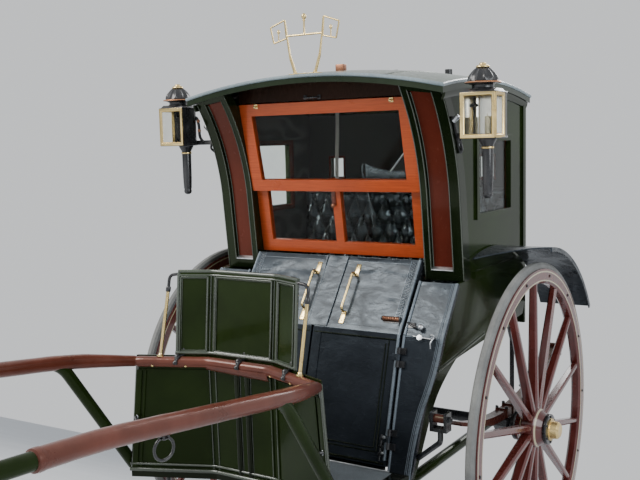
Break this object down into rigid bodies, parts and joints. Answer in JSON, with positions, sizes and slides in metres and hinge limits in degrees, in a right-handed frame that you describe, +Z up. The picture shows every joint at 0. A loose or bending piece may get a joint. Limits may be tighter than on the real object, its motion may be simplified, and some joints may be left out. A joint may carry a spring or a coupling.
{
  "type": "horse drawn carriage",
  "caption": "Hansom cab: a tall arched-roof cabin with folding front doors on two spoked wheels, a faceted dash, twin shafts and a high driver's seat behind.",
  "frame": {"origin": "centre of the footprint box on the floor, midway between the wheels' rear and the shaft tips", "axes": "+Z up, the front and the shafts towards -Y, +X is the carriage's left; stored parked, resting on its wheels and shaft tips"},
  "size_m": [1.814, 3.6492, 2.5212],
  "materials": {
    "green_paint": "gloss dark green coach paint",
    "maroon_paint": "gloss dark red coach paint",
    "orange_wood": "varnished orange-red painted wood",
    "black_leather": "glossy black leather",
    "brown_leather": "brown leather cover",
    "black_iron": "gloss black painted iron",
    "brass": "polished brass",
    "glass": "clear window glass",
    "rubber": "grey solid rubber tyre",
    "grey_mat": "dark grey floor mat",
    "red_spring": "dark red painted steel",
    "black_cloth": "black buttoned trim"
  },
  "bodies": {
    "carriage": {"axle": "black_iron", "axle_saddles": "black_iron", "back_panel": "green_paint", "cabin_glass": "glass", "dash_panel": "green_paint", "dash_posts": "black_iron", "dash_screen": "green_paint", "door_hinges": "black_iron", "driver_cushion": "black_leather", "driver_irons": "black_iron", "driver_rail": "black_iron", "driver_seat": "green_paint", "floor": "grey_mat", "footboard": "black_leather", "front_glass": "glass", "front_header": "maroon_paint", "front_pillars": "green_paint", "front_strips": "black_leather", "heel_board": "green_paint", "lamp_glasses": "glass", "lamps": "black_iron", "left_shaft": "green_paint", "lower_sash": "orange_wood", "mudguards": "black_leather", "padded_rail": "brown_leather", "quarter_panels": "green_paint", "rein_guide": "brass", "right_shaft": "green_paint", "roof_shell": "green_paint", "seat_back": "black_cloth", "seat_base": "green_paint", "seat_cushion": "black_cloth", "side_panels": "green_paint", "spring_irons": "black_iron", "springs": "red_spring", "step_irons": "black_iron", "trap_hinges": "black_iron", "upper_sash": "orange_wood", "whip_socket": "black_iron"},
    "left_wheel": {"left_wheel": "maroon_paint", "left_tyre": "rubber", "left_hub_cap": "brass"},
    "right_wheel": {"right_wheel": "maroon_paint", "right_tyre": "rubber", "right_hub_cap": "brass"},
    "left_door": {"left_door": "black_leather", "left_door_handle": "brass"},
    "right_door": {"right_door": "black_leather", "right_door_handle": "brass"},
    "roof_trap": {"roof_trap_lid": "green_paint"}
  },
  "joints": [
    {"name": "left_wheel_spin", "type": "hinge", "parent": "carriage", "child": "left_wheel", "pos_m": [0.79, 1.12467, 0.7], "axis": [1, 0, 0], "continuous": true},
    {"name": "right_wheel_spin", "type": "hinge", "parent": "carriage", "child": "right_wheel", "pos_m": [-0.79, 1.12467, 0.7], "axis": [1, 0, 0], "continuous": true},
    {"name": "left_door_swing", "type": "hinge", "parent": "carriage", "child": "left_door", "pos_m": [0.419, 0.52435, 0.66845], "axis": [0, -0.1366, 0.9906], "range_deg": [0, 84]},
    {"name": "right_door_swing", "type": "hinge", "parent": "carriage", "child": "right_door", "pos_m": [-0.419, 0.52435, 0.66845], "axis": [0, 0.1366, -0.9906], "range_deg": [0, 84]},
    {"name": "roof_trap_swing", "type": "hinge", "parent": "carriage", "child": "roof_trap", "pos_m": [0, 0.56837, 2.13497], "axis": [1, 0, 0], "range_deg": [0, 100]}
  ]
}
